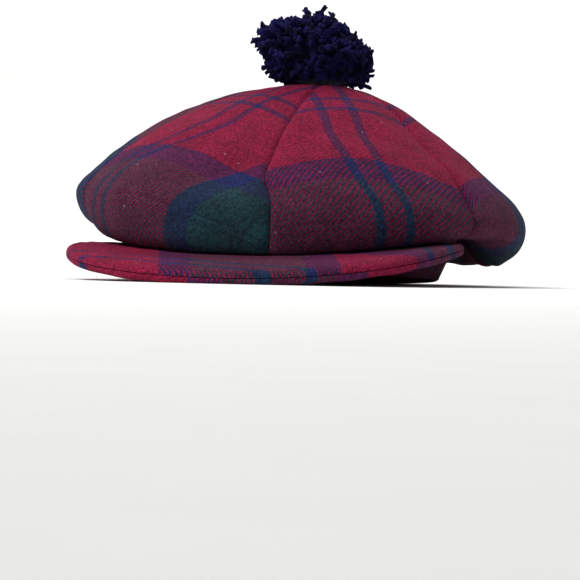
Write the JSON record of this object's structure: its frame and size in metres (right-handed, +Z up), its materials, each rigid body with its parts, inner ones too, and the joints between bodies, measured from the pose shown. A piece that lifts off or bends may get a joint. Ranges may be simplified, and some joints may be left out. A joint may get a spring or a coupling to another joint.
{
  "type": "tam o shanter",
  "caption": "Tartan wool tam o shanter: a puffed, panelled crown gathered on a headband, with a short padded visor at the front and a cut-yarn pompom on top.",
  "frame": {"origin": "middle of the hat's outline box, on the surface that the hat rests on", "axes": "+X to the wearer's left, -Y to the front where the visor is, +Z up"},
  "size_m": [0.2426, 0.2882, 0.1454],
  "materials": {
    "tartan_wool": "brushed twill-woven wool tartan, maroon ground with navy and green checks, matt and slightly fuzzy",
    "headband_wool": "the same brushed twill wool tartan, cut as a strip",
    "visor_wool": "the same brushed twill wool tartan over padding, with an edge seam",
    "pompom_yarn": "cut wool yarn, very dark navy, matt"
  },
  "bodies": {
    "root": {"crown_panel_1": "tartan_wool", "crown_panel_2": "tartan_wool", "crown_panel_3": "tartan_wool", "crown_panel_4": "tartan_wool", "crown_panel_5": "tartan_wool", "crown_panel_6": "tartan_wool", "headband": "headband_wool", "visor_top": "visor_wool", "visor_under": "visor_wool", "pompom": "pompom_yarn"}
  },
  "joints": []
}
